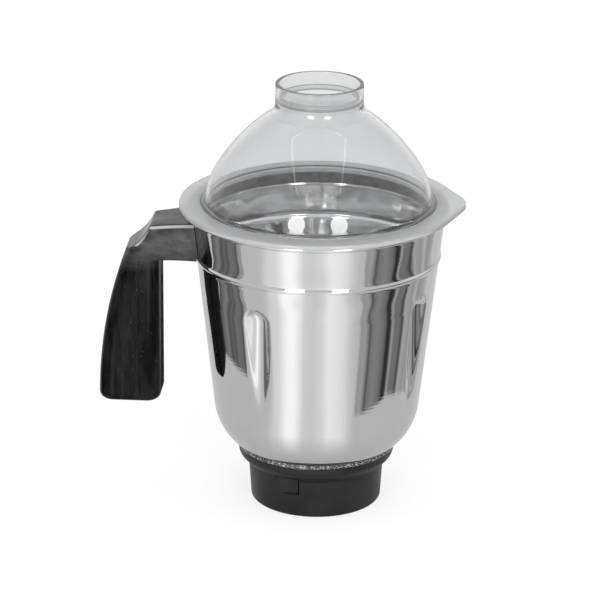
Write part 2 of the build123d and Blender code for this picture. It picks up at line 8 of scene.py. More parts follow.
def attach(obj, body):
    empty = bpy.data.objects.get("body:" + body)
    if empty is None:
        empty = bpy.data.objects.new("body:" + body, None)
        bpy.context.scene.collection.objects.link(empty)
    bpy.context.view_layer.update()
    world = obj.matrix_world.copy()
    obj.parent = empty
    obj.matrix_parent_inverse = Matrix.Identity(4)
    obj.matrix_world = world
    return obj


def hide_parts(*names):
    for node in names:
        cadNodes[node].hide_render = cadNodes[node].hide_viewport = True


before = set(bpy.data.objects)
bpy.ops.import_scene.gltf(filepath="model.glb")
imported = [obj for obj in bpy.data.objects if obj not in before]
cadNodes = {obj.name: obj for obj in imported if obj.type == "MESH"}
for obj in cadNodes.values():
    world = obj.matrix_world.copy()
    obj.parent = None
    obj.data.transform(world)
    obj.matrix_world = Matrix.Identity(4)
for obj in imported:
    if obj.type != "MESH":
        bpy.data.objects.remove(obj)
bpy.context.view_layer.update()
mm = 0.001
print("frame loaded:", len(cadNodes), "nodes")


# node helpers

def addNode(tree, kind, inputs=None, **settings):
    node = tree.nodes.new(kind)
    for key, value in settings.items():
        setattr(node, key, value)
    for key, value in (inputs or {}).items():
        if isinstance(value, bpy.types.NodeSocket):
            tree.links.new(value, node.inputs[key])
        else:
            node.inputs[key].default_value = value
    return node


# a new finish, with the values that are the same all over it
def startFinish(name, **sockets):
    finish = bpy.data.materials.new(name)
    finish.use_nodes = True
    shader = finish.node_tree.nodes["Principled BSDF"]
    for key, value in sockets.items():
        shader.inputs[key.replace("_", " ")].default_value = value
    return finish, finish.node_tree, shader


# links the values that vary over a finish to its shader
def feed(tree, shader, **sockets):
    for key, value in sockets.items():
        tree.links.new(value, shader.inputs[key.replace("_", " ")])


def grey(level):
    return (level, level, level, 1.0)


def noiseMap(tree, scale, detail, stretch=(1, 1, 1), roughness=0.5):
    place = addNode(tree, "ShaderNodeTexCoord")
    mapping = addNode(tree, "ShaderNodeMapping", {"Vector": place.outputs["Object"], "Scale": stretch})
    cloud = addNode(tree, "ShaderNodeTexNoise", {"Vector": mapping.outputs["Vector"], "Scale": scale,
                                                 "Detail": detail, "Roughness": roughness})
    return cloud.outputs["Fac"]


# stops are pairs of a place on the ramp and a grey level or colour
def rampOf(tree, amount, stops):
    ramp = addNode(tree, "ShaderNodeValToRGB", {"Fac": amount})
    elements = ramp.color_ramp.elements
    while len(elements) < len(stops):
        elements.new(0.5)
    for element, (place, colour) in zip(elements, stops):
        element.position = place
        element.color = colour if isinstance(colour, tuple) else grey(colour)
    return ramp.outputs["Color"]


# relief is a pair of strength and depth
def bumpOf(tree, height, relief, under=None):
    strength, depth = relief
    bump = addNode(tree, "ShaderNodeBump", {"Height": height, "Strength": strength, "Distance": depth})
    if under is not None:
        tree.links.new(under, bump.inputs["Normal"])
    return bump.outputs["Normal"]


# X, Y and Z of a texture coordinate
def axesOf(tree, coordinate):
    place = addNode(tree, "ShaderNodeTexCoord")
    return addNode(tree, "ShaderNodeSeparateXYZ", {"Vector": place.outputs[coordinate]}).outputs


# 0 up to the start, 1 from the end on
def riseOf(tree, amount, start, end):
    rise = addNode(tree, "ShaderNodeMapRange", {"Value": amount, "From Min": start, "From Max": end})
    return rise.outputs[0]


def timesOf(tree, first, second):
    product = addNode(tree, "ShaderNodeMath", {0: first, 1: second}, operation="MULTIPLY")
    return product.outputs[0]


# the mix node's sockets 2 and 3 are numbers, 6 and 7 are colours
def blendOf(tree, share, under, over):
    blend = addNode(tree, "ShaderNodeMix", {"Factor": share, 2: under, 3: over})
    return blend.outputs[0]


def layOver(tree, share, under, over):
    layer = addNode(tree, "ShaderNodeMix", {"Factor": share, 6: under, 7: over}, data_type="RGBA")
    return layer.outputs[2]


# mesh helpers

# edges that turn by more than the crease, in degrees, stay sharp
def meshPiece(name, points, faces, *finishes, crease=35):
    mesh = bpy.data.meshes.new(name)
    mesh.from_pydata([tuple(p) for p in points], [], [tuple(f) for f in faces])
    mesh.validate()
    mesh.shade_smooth()
    mesh.set_sharp_from_angle(angle=math.radians(crease))
    piece = bpy.data.objects.new(name, mesh)
    bpy.context.scene.collection.objects.link(piece)
    for finish in finishes:
        mesh.materials.append(finish)
    return piece


# rows of points round an axis, each row joined to the next
def rowFaces(rows, columns, closed=True):
    faces = []
    for i in range(rows if closed else rows - 1):
        j = (i + 1) % rows
        for c in range(columns):
            d = (c + 1) % columns
            faces.append((i * columns + c, i * columns + d, j * columns + d, j * columns + c))
    return faces


# closed section swept round Z: radius and height have a row for each point and a column for each angle
def sweptPiece(name, radius, height, angles, *finishes, rowFinish=None):
    rows, columns = radius.shape
    points = np.stack([radius * np.cos(angles), radius * np.sin(angles), height], -1).reshape(-1, 3)
    piece = meshPiece(name, points, rowFaces(rows, columns), *finishes)
    if rowFinish is not None:
        piece.data.polygons.foreach_set("material_index", np.repeat(rowFinish, columns))
    return piece


# points along an arc about a centre, from one angle to another in degrees
def arcPoints(centre, radius, start, end, steps):
    turn = np.radians(np.linspace(start, end, steps))
    return [(centre[0] + radius * math.cos(t), centre[1] + radius * math.sin(t)) for t in turn]


def linePoints(start, end, steps):
    way = np.array(end) - np.array(start)
    return [tuple(np.array(start) + way * t) for t in np.linspace(0, 1, steps)]


# a smooth turn in place of a corner, cut back by the given length on each side
def softCorner(before, corner, after, cut, steps):
    corner = np.array(corner, float)
    inward = np.array(before, float) - corner
    onward = np.array(after, float) - corner
    start = corner + inward / np.linalg.norm(inward) * cut
    end = corner + onward / np.linalg.norm(onward) * cut
    turn = []
    for t in np.linspace(0, 1, steps):
        turn.append(tuple((1 - t) ** 2 * start + 2 * t * (1 - t) * corner + t**2 * end))
    return turn


def dress(finish, *names):
    for name in names:
        piece = cadNodes[name]
        piece.data.materials.clear()
        piece.data.materials.append(finish)


# finishes: a noise has its scale, detail and stretch, a ramp has pairs of noise level and value,
# a relief has its strength and its depth in metres, and a span is two heights in metres

steelLook = {
    "smear": {"scale": 18, "detail": 5, "stretch": (1, 1, 0.35)},
    "colour": ((0.3, 0.64), (0.8, 0.6)), "roughness": ((0.35, 0.025), (0.75, 0.07)),
    "wave": {"scale": 32, "detail": 1, "stretch": (1, 1, 0.4)}, "waveRelief": (0.4, 0.001),
    # the rolled bead has left the sheet near it uneven
    "pull": {"scale": 46, "detail": 0, "stretch": (1, 1, 1.4)}, "pullRelief": (1.4, 0.001),
    "pullSpan": (0.138, 0.186), "pullFade": ((0, 0.0), (0.4, 1.0), (1, 0.0)),
    "scratch": {"scale": 60, "detail": 3, "stretch": (0.05, 0.05, 14)}, "scratchRelief": (0.07, 0.0002),
}
# inside finish: rougher than the outside, and paler as painted light standing for the lamps' glare inside the
# jar
insideGlareLook = steelLook | {
    "colour": ((0.3, 0.84), (0.8, 0.76)), "roughness": ((0.35, 0.04), (0.75, 0.14)),
    "wave": {"scale": 60, "detail": 1, "stretch": (1, 1, 0.4)}, "waveRelief": (0.6, 0.001),
    "pullRelief": (0.6, 0.001), "scratchRelief": (0.06, 0.0002),
}


def polishedSteel(name, look):
    finish, tree, shader = startFinish(name, Metallic=1.0)
    smear = noiseMap(tree, **look["smear"])
    wave = bumpOf(tree, noiseMap(tree, **look["wave"]), look["waveRelief"])
    alongPull = riseOf(tree, axesOf(tree, "Object")["Z"], *look["pullSpan"])
    pulled = timesOf(tree, noiseMap(tree, **look["pull"]), rampOf(tree, alongPull, look["pullFade"]))
    pull = bumpOf(tree, pulled, look["pullRelief"], wave)
    feed(tree, shader, Base_Color=rampOf(tree, smear, look["colour"]),
         Roughness=rampOf(tree, smear, look["roughness"]),
         Normal=bumpOf(tree, noiseMap(tree, **look["scratch"]), look["scratchRelief"], pull))
    return finish


clearLook = {
    "colour": (0.83, 0.836, 0.842, 1), "ior": 1.49, "clear": 0.975,
    "smear": {"scale": 9, "detail": 5}, "roughness": ((0.4, 0.0), (0.8, 0.03)),
    "ripple": {"scale": 40, "detail": 2}, "rippleRelief": (0.03, 0.001),
}
hazyLook = clearLook | {
    "colour": (0.68, 0.686, 0.692, 1), "clear": 0.5, "roughness": ((0.4, 0.06), (0.8, 0.2)),
}
collarLook = clearLook | {
    "colour": (0.76, 0.765, 0.77, 1), "clear": 0.95, "roughness": ((0.4, 0.0), (0.8, 0.05)),
    "rippleRelief": (0.006, 0.001),
}
# painted shade: a dark copy of the clear plastic for the ledge's underside and the socket wall below it
underLedgeShadeLook = clearLook | {
    "colour": (0.36, 0.365, 0.37, 1), "clear": 0.4, "roughness": ((0.4, 0.1), (0.8, 0.2)),
}


def clearPlastic(name, look):
    finish, tree, shader = startFinish(name, Base_Color=look["colour"], IOR=look["ior"],
                                       Transmission_Weight=look["clear"])
    smear = noiseMap(tree, **look["smear"])
    ripple = noiseMap(tree, **look["ripple"])
    feed(tree, shader, Roughness=rampOf(tree, smear, look["roughness"]),
         Normal=bumpOf(tree, ripple, look["rippleRelief"]))
    return finish


glossLook = {
    "ior": 1.5, "shine": 0.09,
    "streaks": {"scale": 90, "detail": 6, "stretch": (1, 1, 0.22), "roughness": 0.65},
    "streakColour": ((0.4, 0.001), (0.8, 0.036)), "roughness": ((0.4, 0.05), (0.8, 0.2)),
    "hairs": {"scale": 330, "detail": 2, "stretch": (1, 1, 0.012)},
    "hairShare": ((0.6, 0.0), (0.7, 1.0)), "hairColour": 0.03,
    "armSpan": (0.150, 0.166),   # where the grip goes over into the arm
    # scuffs and painted reflection: the arm is made paler than the grip in blotches
    "scuffsAndSheen": {"scale": 55, "detail": 6, "stretch": (0.6, 1, 1.6), "roughness": 0.6},
    "scuffAndSheenShare": ((0.32, 0.0), (0.7, 1.0)), "scuffAndSheenColour": 0.17,
    # painted highlight along the arm's long edges, by how far the surface faces up and to the side
    "paintedHighlightUp": ((0.25, 0.0), (0.5, 1.0), (0.75, 1.0), (0.92, 0.0)), "paintedHighlightAside": ((0.4, 0.0), (0.58, 1.0)),
    "paintedHighlightColour": 0.5,
    "dust": {"scale": 900, "detail": 2, "stretch": (1, 1, 0.7)},
    "dustShare": ((0.72, 0.0), (0.78, 1.0)), "dustColour": 0.1,
    "ripple": {"scale": 30, "detail": 2, "stretch": (1, 1, 0.4)}, "rippleRelief": (0.06, 0.001),
}


# deep gloss with upright wiping streaks and hairlines, dust specks, an arm lightened partly by scuffs and
# partly by a painted reflection, and a painted highlight along the arm's long edges
def glossBlack(look):
    finish, tree, shader = startFinish("glossBlack", IOR=look["ior"], Specular_IOR_Level=look["shine"])
    streaks = noiseMap(tree, **look["streaks"])
    hairs = rampOf(tree, noiseMap(tree, **look["hairs"]), look["hairShare"])
    colour = layOver(tree, hairs, rampOf(tree, streaks, look["streakColour"]), grey(look["hairColour"]))
    onArm = riseOf(tree, axesOf(tree, "Object")["Z"], *look["armSpan"])
    # the arm made paler in blotches, partly scuffs and partly a painted reflection
    scuffsAndSheen = rampOf(tree, noiseMap(tree, **look["scuffsAndSheen"]), look["scuffAndSheenShare"])
    colour = layOver(tree, timesOf(tree, onArm, scuffsAndSheen), colour, grey(look["scuffAndSheenColour"]))
    facing = axesOf(tree, "Normal")
    sideways = addNode(tree, "ShaderNodeMath", {0: facing["Y"]}, operation="ABSOLUTE")
    # painted highlight: pale colour where the arm's surface faces partly up and partly to the side, along its
    # long edges
    edge = timesOf(tree, rampOf(tree, facing["Z"], look["paintedHighlightUp"]),
                   rampOf(tree, sideways.outputs[0], look["paintedHighlightAside"]))
    colour = layOver(tree, timesOf(tree, edge, onArm), colour, grey(look["paintedHighlightColour"]))
    dust = rampOf(tree, noiseMap(tree, **look["dust"]), look["dustShare"])
    colour = layOver(tree, dust, colour, grey(look["dustColour"]))
    feed(tree, shader, Base_Color=colour, Roughness=rampOf(tree, streaks, look["roughness"]),
         Normal=bumpOf(tree, noiseMap(tree, **look["ripple"]), look["rippleRelief"]))
    return finish


satinLook = {
    "ior": 1.38, "haze": {"scale": 40, "detail": 6},
    "colour": ((0.35, 0.007), (0.75, 0.02)), "roughness": ((0.35, 0.3), (0.75, 0.5)),
    "grain": {"scale": 1400, "detail": 3}, "grainRelief": (0.08, 0.0002),
}


def satinBlack(look):
    finish, tree, shader = startFinish("satinBlack", IOR=look["ior"])
    haze = noiseMap(tree, **look["haze"])
    grain = noiseMap(tree, **look["grain"])
    feed(tree, shader, Base_Color=rampOf(tree, haze, look["colour"]),
         Roughness=rampOf(tree, haze, look["roughness"]), Normal=bumpOf(tree, grain, look["grainRelief"]))
    return finish


sealantLook = {
    "roughness": 0.25, "flecks": {"scale": 700, "detail": 4, "stretch": (1, 1, 1.6), "roughness": 0.7},
    "colour": ((0.47, 0.02), (0.62, 0.5)), "fleckRelief": (0.6, 0.0006),
}


# smeared grey sealant: dark film with pale wet flecks
def fleckedSealant(look):
    finish, tree, shader = startFinish("fleckedSealant", Roughness=look["roughness"])
    flecks = noiseMap(tree, **look["flecks"])
    feed(tree, shader, Base_Color=rampOf(tree, flecks, look["colour"]),
         Normal=bumpOf(tree, flecks, look["fleckRelief"]))
    return finish


# plain metals and rubbers: colour and roughness each go from one value to another
grainedLooks = {
    "zincPlate": {"metal": 1.0, "colour": (0.42, 0.55), "roughness": (0.25, 0.4), "scale": 120, "grain": 0.1},
    "groundSteel": {"metal": 1.0, "colour": (0.5, 0.6), "roughness": (0.18, 0.3), "scale": 90, "grain": 0.08},
    "castAlloy": {"metal": 1.0, "colour": (0.5, 0.62), "roughness": (0.3, 0.45), "scale": 140, "grain": 0.15},
    "turnedBronze": {"metal": 1.0, "colour": ((0.42, 0.28, 0.14, 1), (0.6, 0.43, 0.24, 1)),
                     "roughness": (0.25, 0.4), "scale": 120, "grain": 0.1},
    "blackRubber": {"metal": 0.0, "colour": (0.02, 0.035),
                    "roughness": (0.6, 0.75), "scale": 160, "grain": 0.2},
    "greyRubber": {"metal": 0.0, "colour": (0.02, 0.07),
                   "roughness": (0.2, 0.4), "scale": 110, "grain": 0.15},
}
grainShape = {"cloudDetail": 5, "cloudSpan": (0.3, 0.7), "finer": 12, "detail": 3, "depth": 0.0002}


def grainedFinish(name):
    look = grainedLooks[name]
    shape = grainShape
    finish, tree, shader = startFinish(name, Metallic=look["metal"])
    cloud = noiseMap(tree, look["scale"], shape["cloudDetail"])
    grain = noiseMap(tree, look["scale"] * shape["finer"], shape["detail"])
    feed(tree, shader, Base_Color=rampOf(tree, cloud, list(zip(shape["cloudSpan"], look["colour"]))),
         Roughness=rampOf(tree, cloud, list(zip(shape["cloudSpan"], look["roughness"]))),
         Normal=bumpOf(tree, grain, (look["grain"], shape["depth"])))
    return finish


steelFinish = polishedSteel("polishedSteel", steelLook)
insideGlareFinish = polishedSteel("brushedSteelWithGlare", insideGlareLook)
clearFinish = clearPlastic("clearPlastic", clearLook)
hazyFinish = clearPlastic("hazyPlastic", hazyLook)
collarFinish = clearPlastic("collarPlastic", collarLook)
underLedgeShadeFinish = clearPlastic("underLedgeShadePlastic", underLedgeShadeLook)
glossFinish = glossBlack(glossLook)
satinFinish = satinBlack(satinLook)
zincFinish = grainedFinish("zincPlate")
bladeFinish = grainedFinish("groundSteel")
alloyFinish = grainedFinish("castAlloy")
bronzeFinish = grainedFinish("turnedBronze")
rubberFinish = grainedFinish("blackRubber")
gasketFinish = grainedFinish("greyRubber")
sealantFinish = fleckedSealant(sealantLook)
print("finishes made")

# every node of the frame gets a finish of its own kind
dress(steelFinish, "jar_body")
dress(clearFinish, "lid")
dress(gasketFinish, "lid_gasket")
dress(glossFinish, "handle_shell", "handle_cover")
dress(satinFinish, "jar_base", "drive_coupler")
dress(sealantFinish, "base_seal")
dress(zincFinish, "handle_bracket", "handle_screw", "cover_screws", "base_screws", "weld_nuts", "hub_washer",
      "housing_nut", "circlip", "blade_shaft", "blade_washer")
dress(bladeFinish, "lower_blade", "upper_blade", "blade_nut")
dress(alloyFinish, "bush_housing")
dress(rubberFinish, "hub_gasket", "shaft_seal")
dress(bronzeFinish, "bearing_bushes", "thrust_washer", "coupler_insert")
print("nodes dressed")


# steel jar: drawn shell with a bead, a rolled rim and pressed-in flutes, in millimetres until the end

jarShape = {
    "floor": 31.0, "sheet": 0.8, "holeRadius": 13.0, "heelRadius": 60.25, "cornerRadius": 36.0,
    "rimTop": 190.7, "rimRadius": 78.3, "rimFlare": 4.5, "flareCut": 0.55,
    "rollRadius": 1.6, "rollStart": -100, "rollTuck": 0.3,
    "beadZ": 161.0, "beadHeight": 0.9, "beadSpread": 1.3, "beadRoot": 4.0, "beadRootShare": 0.17,
    "fluteCount": 4, "fluteAngle": 63.5, "fluteRadius": 9.0, "fluteDepth": 7.3, "fluteTop": 145.0,
    "fluteEdges": ((0.85, 0.5), (0.15, 3.0)),   # share and softness: pressed edge, sheet drawn in round it
    "fluteFade": 1.6, "fluteFadeRise": 2.0,
    # rows stand closer over the flutes and the bead, columns closer across each flute
    "fluteSpan": (76, 150), "fluteRows": 66, "beadHalf": 7, "beadRows": 36, "plainRows": (5, 3, 6),
    "fluteReach": 9.5, "fluteColumns": 40, "plainColumns": 32,
    "cornerRows": 26, "rollRows": 30, "flareRows": 4, "flareTurnRows": 6,
    "cornerGap": 2.0, "rollGap": 1.0,   # room between the wall's rows and those of the corner and the roll
}
wallSlope = (jarShape["rimRadius"] - jarShape["heelRadius"]) / (jarShape["rimTop"] - jarShape["floor"])


def jarWallRadius(z):
    return jarShape["heelRadius"] + wallSlope * (z - jarShape["floor"])


# the bead stands out as a narrow crest on a wide low root
def beadRise(z):
    s = jarShape
    away = z - s["beadZ"]
    crest = (1 - s["beadRootShare"]) * np.exp(-(away / s["beadSpread"]) ** 2)
    return s["beadHeight"] * (crest + s["beadRootShare"] * np.exp(-(away / s["beadRoot"]) ** 2))


# how deep a flute is pressed at an angle and height: an upright round-ended bar pushed into the tapered wall
def fluteDepth(angle, z):
    s = jarShape
    wall = jarWallRadius(z)
    bar = s["fluteRadius"]
    middle = jarWallRadius(s["fluteTop"]) - s["fluteDepth"] + bar
    above = np.clip(z - (s["fluteTop"] - bar), 0, None)
    depth = 0
    for i in range(s["fluteCount"]):
        centre = math.radians(s["fluteAngle"] + 360 / s["fluteCount"] * i)
        side = wall * np.sin(angle - centre)
        ahead = wall * np.cos(angle - centre)
        reach = np.sqrt(np.clip(bar**2 - side**2 - above**2, 0, None))
        pressed = np.where(ahead > 0, ahead - middle + reach, -middle)
        for share, soft in s["fluteEdges"]:
            depth = depth + share * soft * np.logaddexp(0, pressed / soft)
    return depth / (1 + np.exp((z - s["fluteTop"] - s["fluteFadeRise"]) / s["fluteFade"]))


def jarHeights(low, high):
    s = jarShape
    fluteLow, fluteHigh = s["fluteSpan"]
    beadLow, beadHigh = s["beadZ"] - s["beadHalf"], s["beadZ"] + s["beadHalf"]
    below, between, above = s["plainRows"]
    marks = [np.linspace(low, fluteLow, below), np.linspace(fluteLow, fluteHigh, s["fluteRows"]),
             np.linspace(fluteHigh, beadLow, between), np.linspace(beadLow, beadHigh, s["beadRows"]),
             np.linspace(beadHigh, high, above)]
    return np.unique(np.concatenate(marks))


def jarAngles():
    s = jarShape
    gap = 360 / s["fluteCount"]
    reach = s["fluteReach"]
    fine = np.linspace(-reach, reach, s["fluteColumns"], endpoint=False)
    coarse = np.linspace(reach, gap - reach, s["plainColumns"], endpoint=False)
    one = np.concatenate([fine, coarse]) + s["fluteAngle"]
    return np.radians(np.concatenate([one + gap * i for i in range(s["fluteCount"])]))


# section of the sheet without bead and flutes: outside from the floor's hole up, rim, and inside back down
def jarSection():
    s = jarShape
    tilt = math.atan(wallSlope)
    across = s["sheet"] / math.cos(tilt)
    corner = (s["heelRadius"] + wallSlope * s["cornerRadius"] - s["cornerRadius"] / math.cos(tilt),
              s["floor"] + s["cornerRadius"])
    lean = -math.degrees(tilt)
    outCorner = arcPoints(corner, s["cornerRadius"], -90, lean, s["cornerRows"])
    inCorner = arcPoints(corner, s["cornerRadius"] - s["sheet"], lean, -90, s["cornerRows"])
    rollZ = s["rimTop"] - s["rollRadius"]
    roll = (jarWallRadius(rollZ) - across + s["rollRadius"], rollZ)
    flareLow = rollZ - s["rollRadius"] - s["rimFlare"]
    outHeights = jarHeights(outCorner[-1][1] + s["cornerGap"], flareLow)
    outWall = [(jarWallRadius(z), z) for z in outHeights]
    under = (roll[0] - s["rollTuck"], rollZ - s["rollRadius"])
    meet = (jarWallRadius(under[1]), under[1])
    turn = softCorner(outWall[-1], meet, under, s["flareCut"], s["flareTurnRows"])
    flare = linePoints(outWall[-1], turn[0], s["flareRows"])[1:-1] + turn
    rim = arcPoints(roll, s["rollRadius"], s["rollStart"], 180, s["rollRows"])
    inHeights = jarHeights(inCorner[0][1] + s["cornerGap"], rollZ - s["rollGap"])
    inWall = [(jarWallRadius(z) - across, z) for z in inHeights[::-1]]
    outside = [(s["holeRadius"], s["floor"])] + outCorner + outWall + flare
    inside = inWall + inCorner + [(s["holeRadius"], s["floor"] + s["sheet"])]
    return outside, rim, inside


def makeJar():
    outside, rim, inside = jarSection()
    profile = np.array(outside + rim + inside)
    angles = jarAngles()
    z = np.repeat(profile[:, 1:], len(angles), 1)
    radius = profile[:, :1] + beadRise(z) - fluteDepth(angles[None, :], z)
    rowFinish = np.zeros(len(profile), int)
    rowFinish[-len(inside):] = 1   # the inside has the second finish
    jar = sweptPiece("jarShell", radius * mm, z * mm, angles, steelFinish, insideGlareFinish, rowFinish=rowFinish)
    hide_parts("jar_body")
    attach(jar, "jar")
    return jar


jar = makeJar()
print("jar made:", len(jar.data.polygons), "faces")


# clear lid: one moulding with plug, flange and finger lip, dome and feed collar, in millimetres until the end

lidShape = {
    "flangeLow": 191.0, "flangeTop": 194.0, "flangeRadius": 85.5, "edgeRound": 1.0,
    "lipReach": 5.0, "lipRound": 30.0, "lipTurn": 4.5,
    "plugOuter": 73.9, "plugWall": 2.0, "plugDepth": 10.0, "plugRound": 0.6,
    "footRadius": 70.6, "footRound": 2.2, "shoulderRadius": 68.6, "shoulderRise": 11.5, "shoulderRound": 52.0,
    "domeArc": 115.4, "wall": 2.2, "neckRadius": 25.0, "neckRise": 59.6, "neckCut": 5.0, "innerCut": 4.5,
    "collarRadius": 26.9, "collarTop": 269.3, "collarWall": 2.4, "collarRound": 0.8,
    "socketDepth": 7.9, "ledgeWidth": 1.9, "ledgeThick": 2.4, "ledgeShade": 1.3,
    # angles in degrees at which a rounded edge starts or ends, clear of the straight beside it
    "plugTurnStart": 195, "plugTurnEnd": 345, "edgeTurnStart": -80, "collarTurnStart": 15,
    "footGap": 0.3, "cutGap": 0.4,   # room between the dome's rows and those of a softened corner
    "columns": 288, "collarBlend": 3,   # rows of the neck that have the collar's finish
    "rows": {"plug": 4, "plugTurn": 5, "under": 5, "edgeLow": 7, "edgeTop": 8, "over": 6, "foot": 8,
             "wall": 5, "shoulder": 26, "dome": 46, "neck": 14, "collar": 6, "collarOut": 6, "collarIn": 7,
             "socket": 6, "hole": 4, "innerNeck": 12},
}


# outline of the flange seen from above: a circle drawn out into the finger lip on +X
def flangeReach(angle):
    s = lidShape
    nose = s["lipRound"]
    lipMiddle = s["flangeRadius"] + s["lipReach"] - nose
    lean = math.acos((s["flangeRadius"] - nose) / lipMiddle)
    tip = math.atan2(nose * math.sin(lean), lipMiddle + nose * math.cos(lean))
    away = np.abs((angle + math.pi) % (2 * math.pi) - math.pi)
    straight = s["flangeRadius"] / np.cos(np.clip(away - lean, -1, 1))   # only used close to the lip
    curved = lipMiddle * np.cos(away) + np.sqrt(np.clip(nose**2 - (lipMiddle * np.sin(away)) ** 2, 0, None))
    return np.where(away > lean, s["flangeRadius"], np.where(away > tip, straight, curved))


# plug: down its inner face, round the foot and up its outer face
def plugPath():
    s = lidShape
    rows = s["rows"]
    low, outer, soft = s["flangeLow"], s["plugOuter"], s["plugRound"]
    inner = outer - s["plugWall"]
    footZ = low - s["plugDepth"] + soft
    path = linePoints((inner, low), (inner, footZ), rows["plug"])
    path += arcPoints((inner + soft, footZ), soft, s["plugTurnStart"], 270, rows["plugTurn"])
    path += arcPoints((outer - soft, footZ), soft, 270, s["plugTurnEnd"], rows["plugTurn"])
    return path + linePoints((outer, footZ), (outer, low), rows["plug"])


# flange: out along its underside, round the edge and in along its top to the dome's foot
def flangePath(foot):
    s = lidShape
    rows = s["rows"]
    low, top, bevel = s["flangeLow"], s["flangeTop"], s["edgeRound"]
    edge = s["flangeRadius"] - bevel
    path = linePoints((s["plugOuter"], low), (edge, low), rows["under"])[1:]
    path += arcPoints((edge, low + bevel), bevel, s["edgeTurnStart"], 0, rows["edgeLow"])
    path += arcPoints((edge, top - bevel), bevel, 0, 90, rows["edgeTop"])
    return path + linePoints((edge, top), foot[0], rows["over"])[1:-1]


# dome from its foot to the collar: leaning wall, soft shoulder and wide arc, moved in for the inner face
def domePath(inset, footZ, collar):
    s = lidShape
    rows = s["rows"]
    foot = np.array((s["footRadius"], s["flangeTop"]))
    shoulder = np.array((s["shoulderRadius"], s["flangeTop"] + s["shoulderRise"]))
    neck = np.array((s["neckRadius"], s["flangeTop"] + s["neckRise"]))
    chord = neck - shoulder
    length = np.linalg.norm(chord)
    side = np.array((-chord[1], chord[0])) / length
    centre = (shoulder + neck) / 2 + side * math.sqrt(s["domeArc"] ** 2 - length**2 / 4)
    up = (shoulder - foot) / np.linalg.norm(shoulder - foot)
    inward = np.array((-up[1], up[0]))
    apart = foot + inward * s["shoulderRound"] - centre
    ahead = apart @ up
    climb = math.sqrt(ahead**2 - apart @ apart + (s["domeArc"] - s["shoulderRound"]) ** 2) - ahead
    middle = foot + up * climb + inward * s["shoulderRound"]
    turnStart = math.degrees(math.atan2(-inward[1], -inward[0]))
    turnEnd = math.degrees(math.atan2(*(middle - centre)[::-1]))
    arc = s["domeArc"] - inset
    collarEnd = math.degrees(math.acos((collar - centre[0]) / arc))
    start = foot + inward * inset
    start = start + up * (footZ - start[1]) / up[1]
    turn = arcPoints(middle, s["shoulderRound"] - inset, turnStart, turnEnd, rows["shoulder"])
    sweep = arcPoints(centre, arc, turnEnd, collarEnd, rows["dome"])
    return linePoints(start, turn[0], rows["wall"])[:-1] + turn + sweep[1:]


# collar: up its outer face, over the lip and down the socket to the ledge
def collarPath(start, socket, ledgeTop):
    s = lidShape
    rows = s["rows"]
    outer, lip = s["collarRadius"], s["collarRound"]
    lipZ = s["collarTop"] - lip
    path = linePoints(start, (outer, lipZ), rows["collar"])[1:]
    path += arcPoints((outer - lip, lipZ), lip, s["collarTurnStart"], 90, rows["collarOut"])
    path += arcPoints((socket + lip, lipZ), lip, 90, 180, rows["collarIn"])
    return path + linePoints((socket, lipZ), (socket, ledgeTop), rows["socket"])[1:]


# points of the section and the number of the finish that each row of faces has
def lidSection():
    s = lidShape
    rows = s["rows"]
    rim = (s["flangeRadius"], s["flangeTop"])
    socket = s["collarRadius"] - s["collarWall"]
    ledgeTop = s["collarTop"] - s["socketDepth"]
    ledgeLow = ledgeTop - s["ledgeThick"]
    holeRadius = socket - s["ledgeWidth"]
    outer = domePath(0, s["flangeTop"], s["collarRadius"])
    inner = domePath(s["wall"], s["flangeLow"], socket)[::-1]
    plug = plugPath()
    foot = softCorner(rim, outer[0], outer[1], s["footRound"], rows["foot"])
    flange = flangePath(foot)
    domeLow = foot[-1][1] + s["footGap"]
    neckRoom, innerRoom = s["neckCut"] + s["cutGap"], s["innerCut"] + s["cutGap"]
    dome = [p for p in outer if p[1] > domeLow and math.dist(p, outer[-1]) > neckRoom]
    neck = softCorner(dome[-1], outer[-1], (s["collarRadius"], s["collarTop"]), s["neckCut"], rows["neck"])
    collar = collarPath(neck[-1], socket, ledgeTop)
    hole = linePoints((holeRadius, ledgeTop), (holeRadius, ledgeLow), rows["hole"])
    shade = [(socket, ledgeLow), (socket, ledgeLow - s["ledgeShade"])]
    innerDome = [p for p in inner if math.dist(p, inner[0]) > innerRoom]
    innerNeck = softCorner(shade[-1], inner[0], innerDome[0], s["innerCut"], rows["innerNeck"])
    path = plug + flange + foot + dome + neck + collar + hole + shade + innerNeck + innerDome
    flangeEnd = len(plug) + len(flange)
    neckEnd = flangeEnd + len(foot) + len(dome) + len(neck)
    ledgeStart = neckEnd + len(collar) - 1
    ledgeUnder = ledgeStart + len(hole)
    clearRow, hazyRow, collarRow, underLedgeShadeRow = range(4)
    rowFinish = np.full(len(path), clearRow)
    rowFinish[len(plug) - 1:flangeEnd] = hazyRow
    rowFinish[neckEnd - s["collarBlend"]:ledgeStart] = collarRow
    rowFinish[ledgeStart:ledgeUnder] = hazyRow
    # painted shade on the ledge's underside and the strip of socket wall below it
    rowFinish[ledgeUnder:ledgeUnder + len(shade)] = underLedgeShadeRow
    return np.array(path), rowFinish


